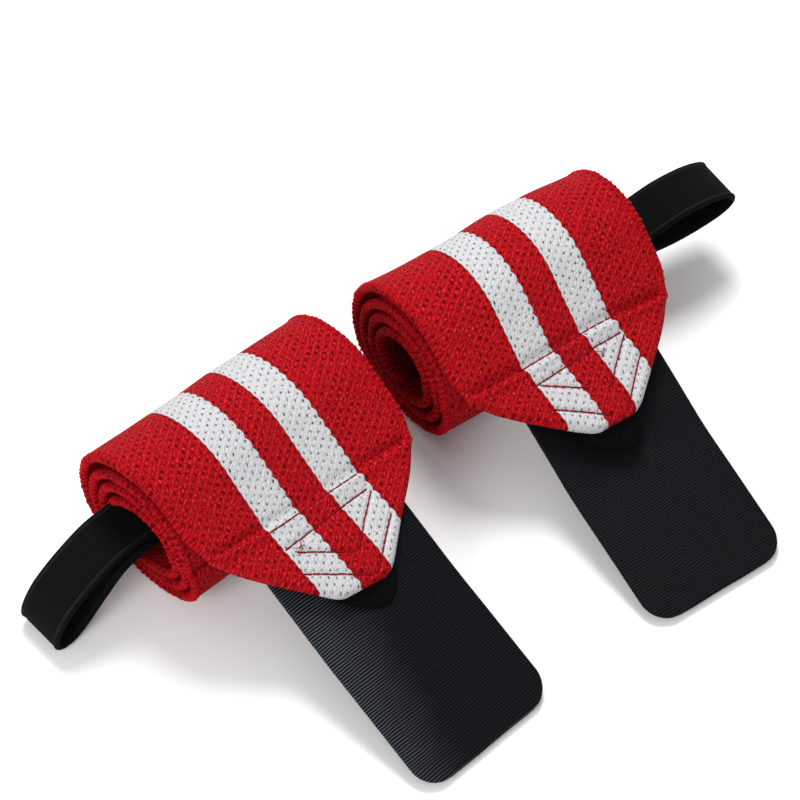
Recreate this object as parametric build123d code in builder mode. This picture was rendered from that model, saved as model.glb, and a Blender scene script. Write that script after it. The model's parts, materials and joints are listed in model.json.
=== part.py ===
"""A mirror-handed pair of rolled elastic wrist wraps, millimetres, +Z up.

The origin is on the table under the left wrap's roll. The roll's axis runs along X and the strap's
outer end with its hook tab points towards -Y. The right wrap stands beside it, turned a little.
"""
import os
from collections import namedtuple
from math import asin, atan2, cos, degrees, hypot, radians, sin

from build123d import *

# Elastic webbing
STRAP_WIDTH = 76.0
STRAP_THICKNESS = 3.0

# Roll: a spiral of half-turn arcs whose centres alternate up and down by half the pitch
ROLL_RADIUS = 24.5
ROLL_PITCH = 3.6
HALF_TURNS = 7
FLAT_DEPTH = 0.4
ROLL_CENTRE_Z = ROLL_RADIUS - FLAT_DEPTH

# Outer end of the strap
FLAP_SLOPE = 18.0
FLAP_LENGTH = 28.0
TIP_WIDTH = 17.0
HINGE_GAP = 0.3

# Black backing between the folded corners: its start below the crease and the corners of its
# point past the strap's blunt end, as (across, down the flap)
BACKING_START = 6.0
BACKING_POINT = (-3.0, 36.0)
BACKING_SHOULDER = (5.0, 32.2)

# Hook tape under the outer end
TAPE_WIDTH = 48.0
TAPE_THICKNESS = 1.4
HOOK_HEIGHT = 1.0
HOOK_MARGIN = 1.2
HOOK_SETBACK = 2.5
TAPE_START = 3.0
PEEL_OFFSET = 9.5
TAB_CORNER_RADIUS = 8.5
TABLE_GAP = 0.15

# Sewing thread: bars that lie on the flap
STITCH_LENGTH = 2.4
STITCH_WIDTH = 0.7
STITCH_HEIGHT = 0.4
STITCH_PITCH = 3.2
SEAM_HALF_WIDTH = 16.0
FIRST_SEAM = 1.0
SECOND_SEAM = 6.8
INNER_V_START = 9.4
INNER_V_TIP = 18.6
OUTER_V_START = 15.6
OUTER_V_TIP = 25.4
V_GAP = 1.8

# Thumb loop: elastic band
BAND_WIDTH = 16.0
BAND_THICKNESS = 1.3
BAND_SHIFT_Y = 1.5
LOOP_ROOT_DEPTH = 14.0
LOOP_ROOT_OUT = 0.4
LOOP_START = 4.0
LOOP_UPPER_Z = 25.9
LOOP_LOWER_Z = 21.3
TACK_LENGTH = 3.0
TACK_WIDTH = 6.0

# hand is the end of the roll that the thumb loop comes out of: -1 for -X and +1 for +X
# loop_route is the band's middle line: distance outside the roll's end, height, bend radius
Wrap = namedtuple("Wrap", "name x y turn hand leave_angle crease_y tab_length tab_shift loop_route")
WRAPS = (
    Wrap(
        name="left", x=0.0, y=0.0, turn=0.0, hand=-1,
        leave_angle=32.0, crease_y=-31.0, tab_length=46.3, tab_shift=-0.9,
        loop_route=((LOOP_START, 26.1, 0), (11.5, 26.2, 12.0), (25.0, 19.8, 18.0), (36.5, 9.5, 8.0),
                    (35.5, 1.0, 3.0), (27.0, 1.4, 7.0), (11.0, 18.6, 12.0), (LOOP_START, 21.3, 0)),
    ),
    Wrap(
        name="right", x=94.3, y=-12.8, turn=-8.3, hand=1,
        leave_angle=34.0, crease_y=-29.0, tab_length=44.3, tab_shift=2.5,
        loop_route=((LOOP_START, 25.9, 0), (16.0, 29.8, 20.0), (32.0, 31.2, 20.0), (44.0, 27.4, 4.5),
                    (42.5, 20.0, 4.0), (30.0, 17.8, 20.0), (15.0, 19.6, 20.0), (LOOP_START, 21.5, 0)),
    ),
)


def placed(wrap, plane):
    """A plane of the wrap's own frame, set where the wrap stands in the pair's frame."""
    return Plane(Location((wrap.x, wrap.y, 0), (0, 0, wrap.turn)) * plane.location)


def save(piece, label):
    piece.part.label = label
    export_step(piece.part, f"parts/{label}.step")


def spiral(inset, leave_angle):
    """The half-turn arcs of the strap's face that lies inset below the roll's outer face."""
    for turn in range(HALF_TURNS + 1):
        centre = (0, ROLL_CENTRE_Z - ROLL_PITCH / 2 * (turn % 2))
        radius = ROLL_RADIUS - ROLL_PITCH / 2 * turn - inset
        start = 90 + leave_angle if turn == 0 else (-90 if turn % 2 else 90)
        size = -180 - leave_angle if turn == 0 else -180
        yield CenterArc(centre, radius, start, size)


def leave_point(wrap, depth):
    """Point (y, z) of the roll's outer turn where the strap leaves it, depth below its face."""
    angle = radians(90 + wrap.leave_angle)
    radius = ROLL_RADIUS - depth
    return radius * cos(angle), ROLL_CENTRE_Z + radius * sin(angle)


def flap_plane(wrap):
    """Top face of the flap: origin at the middle of the crease, local -Y down the slope."""
    y, z = leave_point(wrap, 0)
    crease_z = z - (y - wrap.crease_y) * sin(radians(wrap.leave_angle)) / cos(radians(wrap.leave_angle))
    slope = radians(FLAP_SLOPE)
    return Plane(origin=(0, wrap.crease_y, crease_z), x_dir=(1, 0, 0), z_dir=(0, -sin(slope), cos(slope)))


def flap_hinge(wrap):
    """Middle (y, z) of the flap's rounded root, just clear of the end of the roll."""
    y, z = leave_point(wrap, STRAP_THICKNESS / 2)
    reach = STRAP_THICKNESS / 2 + HINGE_GAP
    angle = radians(wrap.leave_angle)
    return y - reach * cos(angle), z - reach * sin(angle)


def peel_hinge(wrap):
    """Middle of the free tab's root, in the middle of the tape's thickness."""
    depth = 2 * STRAP_THICKNESS + TAPE_THICKNESS / 2
    return flap_plane(wrap).from_local_coords((0, -FLAP_LENGTH - PEEL_OFFSET, -depth))


def tape_root_end():
    """How far down the flap the sewn half of the tape ends."""
    return FLAP_LENGTH + PEEL_OFFSET - TAPE_THICKNESS / 2 - HINGE_GAP


def tab_plane(wrap):
    """Top face of the free tab, sloping until the hooks at its end nearly meet the table."""
    hinge = peel_hinge(wrap)
    lowest = TAPE_THICKNESS / 2 + HOOK_HEIGHT + TABLE_GAP
    slope = asin((hinge.Z - lowest) / wrap.tab_length)
    normal = Vector(0, -sin(slope), cos(slope))
    return Plane(origin=hinge + normal * (TAPE_THICKNESS / 2), x_dir=(1, 0, 0), z_dir=normal)


def make_coil(wrap):
    """The rolled webbing, with a small flat pressed into it where it rests on the table."""
    with BuildPart() as coil:
        with BuildSketch(placed(wrap, Plane.YZ)):
            with BuildLine():
                outer = list(spiral(0, wrap.leave_angle))
                inner = list(spiral(STRAP_THICKNESS, wrap.leave_angle))
                Line(outer[0] @ 0, inner[0] @ 0)
                Line(outer[-1] @ 1, inner[-1] @ 1)
            make_face()
        extrude(amount=STRAP_WIDTH / 2, both=True)
        split(bisect_by=Plane.XY, keep=Keep.TOP)
    return coil


def make_flap(wrap):
    """The strap's outer end: a straight ramp, a crease and a point with its corners folded under."""
    top = flap_plane(wrap)
    tip_half = TIP_WIDTH / 2
    edge = STRAP_WIDTH / 2
    hinge = flap_hinge(wrap)
    lean = radians(wrap.leave_angle)
    across = Vector(-sin(lean), cos(lean)) * (STRAP_THICKNESS / 2)
    bottom = top.offset(-STRAP_THICKNESS)
    crease_top = (wrap.crease_y, top.origin.Z)
    half_bend = radians((wrap.leave_angle + FLAP_SLOPE) / 2)
    half_turn = radians((wrap.leave_angle - FLAP_SLOPE) / 2)
    mitre = STRAP_THICKNESS / cos(half_turn)
    crease_bottom = (crease_top[0] + mitre * sin(half_bend), crease_top[1] - mitre * cos(half_bend))
    tip_top = top.from_local_coords((0, -FLAP_LENGTH, 0))
    tip_bottom = top.from_local_coords((0, -FLAP_LENGTH, -STRAP_THICKNESS))
    with BuildPart() as flap:
        with BuildSketch(placed(wrap, Plane.YZ)):
            with BuildLine():
                root_top = Vector(*hinge) + across
                root_bottom = Vector(*hinge) - across
                Polyline(root_top, crease_top, (tip_top.Y, tip_top.Z), (tip_bottom.Y, tip_bottom.Z),
                         crease_bottom, root_bottom)
                CenterArc(hinge, STRAP_THICKNESS / 2, wrap.leave_angle - 90, 180)
            make_face()
        extrude(amount=STRAP_WIDTH / 2, both=True)
        with BuildSketch(placed(wrap, top)):
            for side in (-1, 1):
                with BuildLine():
                    Polyline((side * edge, 0), (side * edge, -FLAP_LENGTH), (side * tip_half, -FLAP_LENGTH),
                             close=True)
                make_face()
        extrude(amount=-STRAP_THICKNESS, mode=Mode.SUBTRACT)
        with BuildSketch(placed(wrap, bottom)):
            for side in (-1, 1):
                with BuildLine():
                    Polyline((side * edge, 0), (side * tip_half, 0), (side * tip_half, -FLAP_LENGTH),
                             close=True)
                make_face()
        extrude(amount=-STRAP_THICKNESS)
    return flap


def make_tip_backing(wrap):
    """The black layer between the folded corners, with a point that shows past the strap's end."""
    half = TIP_WIDTH / 2
    point, shoulder = ((x, -down) for x, down in (BACKING_POINT, BACKING_SHOULDER))
    with BuildPart() as backing:
        with BuildSketch(placed(wrap, flap_plane(wrap).offset(-STRAP_THICKNESS))):
            with BuildLine():
                Polyline((-half, -BACKING_START), (-half, -FLAP_LENGTH), point, shoulder,
                         (half, -FLAP_LENGTH), (half, -BACKING_START), close=True)
            make_face()
        extrude(amount=-STRAP_THICKNESS)
    return backing


def make_tape_root(wrap):
    """The sewn half of the hook tape, against the folded corners and the backing."""
    face = placed(wrap, flap_plane(wrap).offset(-2 * STRAP_THICKNESS))
    end = tape_root_end()
    with BuildPart() as tape:
        with BuildSketch(face):
            with Locations((wrap.tab_shift, -(TAPE_START + end) / 2)):
                Rectangle(TAPE_WIDTH, end - TAPE_START)
        extrude(amount=-TAPE_THICKNESS)
    return tape


def make_root_hooks(wrap):
    """Hook pile under the sewn half of the tape."""
    face = placed(wrap, flap_plane(wrap).offset(-2 * STRAP_THICKNESS - TAPE_THICKNESS))
    start = TAPE_START + HOOK_MARGIN
    end = tape_root_end() - HOOK_SETBACK
    with BuildPart() as hooks:
        with BuildSketch(face):
            with Locations((wrap.tab_shift, -(start + end) / 2)):
                Rectangle(TAPE_WIDTH - 2 * HOOK_MARGIN, end - start)
        extrude(amount=-HOOK_HEIGHT)
    return hooks


def make_hook_tab(wrap):
    """The free half of the tape, with a rounded root and two rounded corners at its end."""
    face = placed(wrap, tab_plane(wrap))
    with BuildPart() as tab:
        with BuildSketch(face) as outline:
            with Locations((wrap.tab_shift, -wrap.tab_length / 2)):
                Rectangle(TAPE_WIDTH, wrap.tab_length)
            fillet(outline.vertices().group_by(Axis.Y)[0], TAB_CORNER_RADIUS)
        extrude(amount=-TAPE_THICKNESS)
        root = face.from_local_coords((wrap.tab_shift, 0, -TAPE_THICKNESS / 2))
        across = Plane(origin=root, x_dir=face.z_dir, z_dir=face.x_dir)
        with BuildSketch(across):
            Circle(TAPE_THICKNESS / 2)
        extrude(amount=TAPE_WIDTH / 2, both=True)
    return tab


def make_tab_hooks(wrap):
    """Hook pile under the free tab, a little inside its outline."""
    face = placed(wrap, tab_plane(wrap).offset(-TAPE_THICKNESS))
    end = wrap.tab_length - HOOK_MARGIN
    with BuildPart() as hooks:
        with BuildSketch(face) as outline:
            with Locations((wrap.tab_shift, -(HOOK_SETBACK + end) / 2)):
                Rectangle(TAPE_WIDTH - 2 * HOOK_MARGIN, end - HOOK_SETBACK)
            fillet(outline.vertices().group_by(Axis.Y)[0], TAB_CORNER_RADIUS - HOOK_MARGIN)
        extrude(amount=-HOOK_HEIGHT)
    return hooks


def make_seam(wrap, legs):
    """Separate thread bars in line along each leg, lying on the flap."""
    with BuildPart() as seam:
        with BuildSketch(placed(wrap, flap_plane(wrap))):
            for (x0, y0), (x1, y1) in legs:
                count = round(hypot(x1 - x0, y1 - y0) / STITCH_PITCH)
                angle = degrees(atan2(y1 - y0, x1 - x0))
                for bar in range(count):
                    along = (bar + 0.5) / count
                    with Locations(Location((x0 + (x1 - x0) * along, y0 + (y1 - y0) * along), angle)):
                        Rectangle(STITCH_LENGTH, STITCH_WIDTH)
        extrude(amount=STITCH_HEIGHT)
    return seam


def row_legs(down):
    return [((-SEAM_HALF_WIDTH, -down), (SEAM_HALF_WIDTH, -down))]


def v_legs(start, tip):
    """Two legs that fall from the sides to a point near the middle."""
    return [((side * SEAM_HALF_WIDTH, -start), (side * V_GAP, -tip)) for side in (-1, 1)]


def loop_plane(wrap):
    """Upright plane along the roll's axis through the middle of the loop's width."""
    return placed(wrap, Plane.XZ.offset(-BAND_SHIFT_Y))


def make_loop_root(wrap):
    """The loop's two ends inside the roll, joined by the fold that is sewn down."""
    end = STRAP_WIDTH / 2
    with BuildPart() as root:
        with BuildSketch(loop_plane(wrap)):
            outside = wrap.hand * (end + LOOP_ROOT_OUT)
            inside = wrap.hand * (end - LOOP_ROOT_DEPTH)
            height = LOOP_UPPER_Z - LOOP_LOWER_Z
            for z in (LOOP_UPPER_Z, LOOP_LOWER_Z):
                with Locations(((outside + inside) / 2, z)):
                    Rectangle(LOOP_ROOT_DEPTH + LOOP_ROOT_OUT, BAND_THICKNESS)
            with Locations((inside, (LOOP_UPPER_Z + LOOP_LOWER_Z) / 2)):
                Rectangle(BAND_THICKNESS, height + BAND_THICKNESS)
        extrude(amount=BAND_WIDTH / 2, both=True)
    return root


def make_loop_tack(wrap):
    """Thread block between the loop's upper end and the strap's inner end above it."""
    top_centre = (0, ROLL_CENTRE_Z - ROLL_PITCH / 2)
    top_radius = ROLL_RADIUS - ROLL_PITCH / 2 * HALF_TURNS - STRAP_THICKNESS
    low = LOOP_UPPER_Z + BAND_THICKNESS / 2
    x = wrap.hand * (STRAP_WIDTH / 2 - LOOP_ROOT_DEPTH + TACK_LENGTH)
    with BuildPart() as tack:
        with BuildSketch(placed(wrap, Plane.YZ.offset(x))):
            with Locations((0, low)):
                Rectangle(TACK_WIDTH, ROLL_RADIUS, align=(Align.MAX, Align.MIN))
            with Locations(top_centre):
                Circle(top_radius, mode=Mode.INTERSECT)
        extrude(amount=TACK_LENGTH / 2, both=True)
    return tack


def make_thumb_loop(wrap):
    """The free band outside the roll's end, bent into a drooping teardrop."""
    end = STRAP_WIDTH / 2
    points = [(wrap.hand * (end + out), z) for out, z, bend in wrap.loop_route]
    bends = [bend for out, z, bend in wrap.loop_route[1:-1]]
    with BuildPart() as loop:
        with BuildSketch(loop_plane(wrap)):
            with BuildLine():
                FilletPolyline(*points, radius=bends)
                offset(amount=BAND_THICKNESS / 2, side=Side.BOTH)
            make_face()
        extrude(amount=BAND_WIDTH / 2, both=True)
    return loop


os.makedirs("parts", exist_ok=True)
for wrap in WRAPS:
    save(make_coil(wrap), f"{wrap.name}_coil")
    save(make_flap(wrap), f"{wrap.name}_flap")
    save(make_tip_backing(wrap), f"{wrap.name}_tip_backing")
    save(make_tape_root(wrap), f"{wrap.name}_tape_root")
    save(make_root_hooks(wrap), f"{wrap.name}_root_hooks")
    save(make_hook_tab(wrap), f"{wrap.name}_hook_tab")
    save(make_tab_hooks(wrap), f"{wrap.name}_tab_hooks")
    save(make_seam(wrap, row_legs(FIRST_SEAM)), f"{wrap.name}_seam_first")
    save(make_seam(wrap, row_legs(SECOND_SEAM)), f"{wrap.name}_seam_second")
    save(make_seam(wrap, v_legs(INNER_V_START, INNER_V_TIP)), f"{wrap.name}_seam_inner_v")
    save(make_seam(wrap, v_legs(OUTER_V_START, OUTER_V_TIP)), f"{wrap.name}_seam_outer_v")
    save(make_loop_root(wrap), f"{wrap.name}_loop_root")
    save(make_loop_tack(wrap), f"{wrap.name}_loop_tack")
    save(make_thumb_loop(wrap), f"{wrap.name}_thumb_loop")
    root = placed(wrap, Plane.XY)
    print(wrap.name, "flap hinge", root.from_local_coords((0, *flap_hinge(wrap))))
    print(wrap.name, "peel hinge", root.from_local_coords(peel_hinge(wrap)))
    print(wrap.name, "loop hinge",
          root.from_local_coords((wrap.hand * STRAP_WIDTH / 2, BAND_SHIFT_Y, (LOOP_UPPER_Z + LOOP_LOWER_Z) / 2)))
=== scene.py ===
"""Looks for the pair of rolled elastic wrist wraps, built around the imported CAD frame.

Lengths in the shape functions are millimetres in each wrap's own frame: x along the roll's axis,
y away from the hook tab and z up, with the origin on the table under the roll. On the strap, x runs
across it from its middle line and s along it from the crease where its end bends: below 0 towards
the roll and above 0 towards the point.
"""

import json
import math

import bmesh
import bpy
import numpy as np
from mathutils import Matrix, Vector


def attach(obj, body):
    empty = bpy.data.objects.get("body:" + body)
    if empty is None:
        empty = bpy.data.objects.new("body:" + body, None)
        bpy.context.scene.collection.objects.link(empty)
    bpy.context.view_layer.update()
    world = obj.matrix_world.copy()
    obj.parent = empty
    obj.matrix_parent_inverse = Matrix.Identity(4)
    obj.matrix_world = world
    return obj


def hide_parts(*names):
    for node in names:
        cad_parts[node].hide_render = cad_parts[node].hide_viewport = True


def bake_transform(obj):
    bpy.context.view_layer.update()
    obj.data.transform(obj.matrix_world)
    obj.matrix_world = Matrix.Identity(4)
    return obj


MM = 0.001
SEED = 7

# Strap: half its width, its thickness, and the spacing of the points and rows that draw it
STRAP_HALF = 38.0
STRAP_T = 2.5
LINE_STEP = 0.5
COIL_POINTS = 240
FINE_ROW = 0.9
COARSE_ROW = 1.5
FINE_LENGTH = 110.0

# Roll and folded end, with angles in degrees
ROLL_R = 24.5
ROLL_TURNS = 3.6
FLAP_ROOT = 9.0
FLAP_SLOPE = 18.0
TIP_CURL = 14.0
FLAP_REACH = 34.0
CREASE_RADIUS = 12.0
CORNER_PULL = 2.4
TIP_ROUND = 2.2
FOLD_INNER_X = 8.5

# The roll's turns close in on each other after the outermost one has passed under the roll
EASE_TURNS = 0.08
BASE_TURNS = 0.59

# Where the roll bulges forwards, in degrees down from its front, and how far round that spreads.
# Nothing of the bulge lies above the front, so the turns have a small step there, behind the strap's end.
BELLY_AT = 32.0
BELLY_SPREAD = 38.0

# Thread bars round the strap's side edges
WHIP_PITCH = 1.9
WHIP_RADIUS = 0.43

# Sewing thread: a stitch's length, and the radii of the thread and of its loose ends
STITCH = 2.7
THREAD_RADIUS = 0.25
TAIL_RADIUS = 0.13

# Hook tape
TAPE_HALF = 24.2
TAPE_T = 1.4
TAPE_CORNER = 8.5
TAPE_START = 4.0
HOOK_PILE = 1.0
HOOK_PITCH = 1.4
HOOK_ROW = 1.45
HOOK_RADIUS = 0.13
HOOK_MARGIN = 1.6
HOOK_END_GAP = 2.0
HOOK_HINGE_GAP = 2.5
HOOK_CLEARANCE = 0.15

# Black layer between the folded corners
BACKING_T = 2.4
BACKING_HALF = 8.2
BACKING_START = 6.2

# Thumb loop
BAND_HALF = 8.0
BAND_T = 1.3
BAND_Y = 1.5
BAND_RIM = 0.75
BAND_RIB = 1.06
LOOP_EXIT_Z = 23.6

# Camera, in metres and degrees
EYE = (-0.3208, -0.3554, 0.7372)
AIM = (0.0592, -0.0060, 0.0)
CAMERA_ROLL = 5.0
LENS = 135.5

# Studio, in metres and watts: each light's name, place, size and power
FLOOR_HALF = 6.0
WORLD_STRENGTH = 0.60
LIT_POINT = (0.05, -0.03, 0.02)
LIGHTS = (("key", (0.35, 0.45, 0.95), 0.45, 11.0),
          ("fill", (-0.85, -0.2, 0.62), 0.6, 6.5))

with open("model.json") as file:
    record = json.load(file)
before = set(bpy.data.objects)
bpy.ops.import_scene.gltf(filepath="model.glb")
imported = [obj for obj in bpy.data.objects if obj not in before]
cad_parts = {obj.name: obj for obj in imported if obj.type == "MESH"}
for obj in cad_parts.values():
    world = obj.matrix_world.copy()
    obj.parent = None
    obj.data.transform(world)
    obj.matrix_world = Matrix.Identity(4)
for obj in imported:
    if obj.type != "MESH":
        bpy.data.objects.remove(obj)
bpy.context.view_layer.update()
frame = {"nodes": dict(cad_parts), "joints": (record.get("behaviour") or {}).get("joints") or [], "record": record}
rng = np.random.default_rng(SEED)


# ------------------------------------ wraps

class Wrap:
    """One wrap's place and the sizes in which it differs from the other.

    hand: -1 where the thumb loop comes out of the left end, 1 where it comes out of the right
    leave: degrees forwards from the roll's top where the strap leaves it for the ramp to the crease
    ramp_end: y of the crease; bend_skew: slopes of its left and right halves
    wide_step, top_step, bottom_step: how far each turn closes in; drift: how far it moves back
    crease: s where the left and right edges turn in; tip: (x, s) of the blunt point's two corners
    backing: (x, s) of the backing's low left, high left, point, high right and low right
    end_rise: how much higher the roll stands all along and at its right end, as shares
    grow: how far the outer turns' left and right edges stand proud; belly: the roll's bulge forwards
    stripe_drift: how far right the stripes lie at s -4 and 20; stripe_spread: how far apart, as a share
    tails: (x, s, direction in radians, length) of loose thread ends
    tape_drop: how far the tape lies under its hinge; tape_end: y of its end; tape_shift: x of both ends
    """

    def __init__(self, name, hand, **sizes):
        self.name = name
        self.hand = hand
        self.__dict__.update(sizes)
        record = frame["record"]
        mount = next(m for m in record["mounts"] if m["name"] == f"rest_face_{name}")
        lift, peel = (next(j for j in frame["joints"] if j["name"] == f"{name}_{movement}")
                      for movement in ("flap_lift", "tab_peel"))
        self.origin = np.array(mount["pos_m"])
        across = -np.array(lift["axis"])
        self.along = across / np.linalg.norm(across)
        self.back = np.array([-self.along[1], self.along[0], 0.0])
        self.flap_hinge = np.array(lift["pos_m"])
        self.peel_hinge = np.array(peel["pos_m"])

    def world(self, points):
        """Points in the wrap's own millimetres, in the frame's metres."""
        x, y, z = np.split(np.asarray(points, float) * MM, 3, axis=-1)
        return self.origin + x * self.along + y * self.back + z * (0, 0, 1)

    def local_yz(self, point):
        """(y, z) in the wrap's own millimetres of a point in the frame."""
        d = (np.asarray(point) - self.origin) / MM
        return float(d @ self.back), float(d[2])


WRAPS = (
    Wrap("left", -1, leave=32.0, ramp_end=-31.0,
         wide_step=3.7, top_step=4.5, bottom_step=3.8, drift=-0.4,
         crease=(-3.6, 1.2), tip=((-10.9, 26.7), (6.4, 28.6)), bend_skew=(0.095, 0.032),
         backing=((-12.3, 25.5), (-8.8, 30.0), (-0.2, 36.0), (4.6, 33.6), (8.8, 29.3)),
         end_rise=(0.018, -0.09), grow=(1.6, 1.8), belly=4.8,
         stripe_drift=(0.1, 1.1), stripe_spread=0.06,
         tails=((-13.5, 6.6, 0.5, 4.0), (-12.6, 7.4, -0.6, 2.6), (-14.2, 7.2, 1.2, 2.4)),
         tape_drop=0.0, tape_end=-108.3, tape_shift=(0.0, -1.8)),
    Wrap("right", 1, leave=34.0, ramp_end=-29.0,
         wide_step=4.1, top_step=4.4, bottom_step=4.0, drift=0.0,
         crease=(-0.2, 1.0), tip=((-6.5, 25.8), (8.9, 26.2)), bend_skew=(0.005, 0.026),
         backing=((-11.6, 24.0), (-6.4, 30.0), (1.4, 34.8), (6.8, 32.0), (10.4, 27.6)),
         end_rise=(0.048, 0.052), grow=(1.7, 0.3), belly=3.3,
         stripe_drift=(-0.5, 2.6), stripe_spread=0.0,
         tails=((5.6, 5.2, 1.0, 3.6), (6.2, 7.6, -0.5, 3.0)),
         tape_drop=1.5, tape_end=-104.5, tape_shift=(3.2, 3.6)),
)

# Sewn rows: the straight legs of each, as (x, s) of both ends
SEAMS = {
    "left": {"seam_first": [((-16.4, -0.8), (16.4, 0.2))],
             "seam_second": [((-16.0, 5.6), (16.0, 5.4))],
             "seam_inner_v": [((-13.5, 8.0), (0.8, 17.6)), ((16.2, 6.8), (2.2, 17.6))],
             "seam_outer_v": [((-16.2, 14.0), (0.6, 25.6)), ((16.9, 15.0), (2.8, 25.6))]},
    "right": {"seam_first": [((-16.4, -1.2), (16.4, -1.0))],
              "seam_second": [((-16.0, 4.9), (16.0, 4.4))],
              "seam_inner_v": [((-14.0, 5.6), (-1.5, 13.6)), ((16.6, 5.4), (4.0, 16.6))],
              "seam_outer_v": [((-15.0, 13.0), (0.2, 23.6)), ((18.1, 12.0), (5.2, 24.4))]},
}

# Thumb loops: the way out past the roll's end and the height of the band's middle, out and back
LOOP_ROUTES = {
    "left": ((-13.0, 25.6), (-4.0, 25.9), (4.0, 26.2), (11.0, 26.0), (18.0, 23.6), (25.0, 19.8),
             (30.4, 15.2), (33.8, 9.4), (34.6, 4.8), (33.4, 2.2), (31.0, 1.5), (27.6, 2.2),
             (22.8, 5.8), (16.6, 12.4), (10.5, 18.4), (4.0, 21.0), (-4.0, 21.3), (-13.0, 21.4)),
    "right": ((-13.0, 25.6), (-4.0, 25.8), (4.0, 26.2), (13.5, 28.4), (23.0, 30.8), (33.0, 30.6),
              (40.6, 28.2), (43.6, 25.4), (43.0, 22.4), (39.0, 20.0), (31.0, 18.7), (22.0, 18.8),
              (13.0, 20.2), (4.0, 21.4), (-4.0, 21.4), (-13.0, 21.4)),
}


# ------------------------------------ small shape helpers

def smooth(low, high, value):
    """0 at low, 1 at high, smooth between and level beyond; low may be the greater of the two."""
    t = np.clip((value - low) / (high - low), 0, 1)
    return t * t * (3 - 2 * t)


def smooth_least(values, sharpness):
    """The least of some arrays, rounded off where two of them are nearly equal."""
    stack = np.stack(values)
    return -np.log(np.exp(-sharpness * stack).sum(0)) / sharpness


def hill(value, centre, width):
    """1 at the centre, and falling off to both sides."""
    return np.exp(-((value - centre) / width) ** 2)


def rounded_rim(edge, radius):
    """Height of a rounded rim of the given radius, edge being the way in from its side."""
    near = np.clip(edge, 0, radius)
    return np.sqrt(np.maximum(0, radius ** 2 - (radius - near) ** 2))


def corner_inset(past, radius):
    """How far a rounded corner lies inside the straight side, past its start."""
    return radius - np.sqrt(np.maximum(0, radius ** 2 - past ** 2))


def way_in(x):
    """For rows of points across a sheet, the way in from the nearer side."""
    return np.minimum(x - x[:, :1], x[:, -1:] - x)


def line_normals(points):
    """Unit normals of a line in an upright plane, pointing up where it runs in the negative direction."""
    tangents = np.gradient(points, axis=0)
    tangents /= np.linalg.norm(tangents, axis=1)[:, None]
    return np.stack([tangents[:, 1], -tangents[:, 0]], -1)


def smooth_curve(knots, count):
    """A Catmull-Rom curve through the knots at even spacing, and the length up to each point."""
    padded = np.concatenate([[2 * knots[0] - knots[1]], knots, [2 * knots[-1] - knots[-2]]])
    pieces = []
    for a, b, c, d in zip(padded, padded[1:], padded[2:], padded[3:]):
        t = np.linspace(0, 1, 40, endpoint=False)[:, None]
        pieces.append(0.5 * (2 * b + (c - a) * t + (2 * a - 5 * b + 4 * c - d) * t ** 2
                             + (3 * b - a - 3 * c + d) * t ** 3))
    dense = np.concatenate([*pieces, knots[-1:]])
    length = np.concatenate([[0], np.cumsum(np.linalg.norm(np.diff(dense, axis=0), axis=1))])
    even = np.linspace(0, length[-1], count)
    return np.stack([np.interp(even, length, column) for column in dense.T], -1), even


def mesh_object(name, vertices, faces, material, uv=None):
    """A mesh object from vertices in the frame; uv is one (u, v) per vertex."""
    mesh = bpy.data.meshes.new(name)
    mesh.from_pydata([tuple(v) for v in vertices], [], [tuple(f) for f in faces])
    mesh.validate()
    if uv is not None:
        layer = mesh.uv_layers.new(name="flat")
        index = np.empty(len(mesh.loops), int)
        mesh.loops.foreach_get("vertex_index", index)
        layer.data.foreach_set("uv", np.asarray(uv, float)[index].ravel())
    mesh.polygons.foreach_set("use_smooth", [True] * len(mesh.polygons))
    mesh.materials.append(material)
    piece = bpy.data.objects.new(name, mesh)
    bpy.context.scene.collection.objects.link(piece)
    return piece


def closed_sheet(name, wrap, top, bottom, uv, material):
    """A closed mesh from a top and a bottom grid (rows, columns, 3) that meet along all four sides."""
    rows, columns = top.shape[:2]
    count = rows * columns
    vertices = np.concatenate([wrap.world(top.reshape(-1, 3)), wrap.world(bottom.reshape(-1, 3))])
    coords = np.concatenate([uv.reshape(-1, 2), uv.reshape(-1, 2)])
    i = np.arange(count).reshape(rows, columns)
    quads = np.stack([i[:-1, :-1], i[1:, :-1], i[1:, 1:], i[:-1, 1:]], -1).reshape(-1, 4)
    faces = [quads, quads[:, ::-1] + count]
    rim = np.concatenate([i[0, :], i[1:, -1], i[-1, -2::-1], i[-2:0:-1, 0]])
    after = np.roll(rim, -1)
    faces.append(np.stack([rim, after, after + count, rim + count], -1))
    piece = mesh_object(name, vertices, np.concatenate(faces), material, coords)
    weld(piece)
    piece.data.set_sharp_from_angle(angle=math.radians(55))
    return piece


def weld(piece, distance=0.00001):
    """Joins vertices that coincide, and turns all faces outwards."""
    work = bmesh.new()
    work.from_mesh(piece.data)
    bmesh.ops.remove_doubles(work, verts=work.verts, dist=distance)
    bmesh.ops.dissolve_degenerate(work, edges=work.edges, dist=distance / 10)
    bmesh.ops.recalc_face_normals(work, faces=work.faces)
    work.to_mesh(piece.data)
    work.free()


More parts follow.
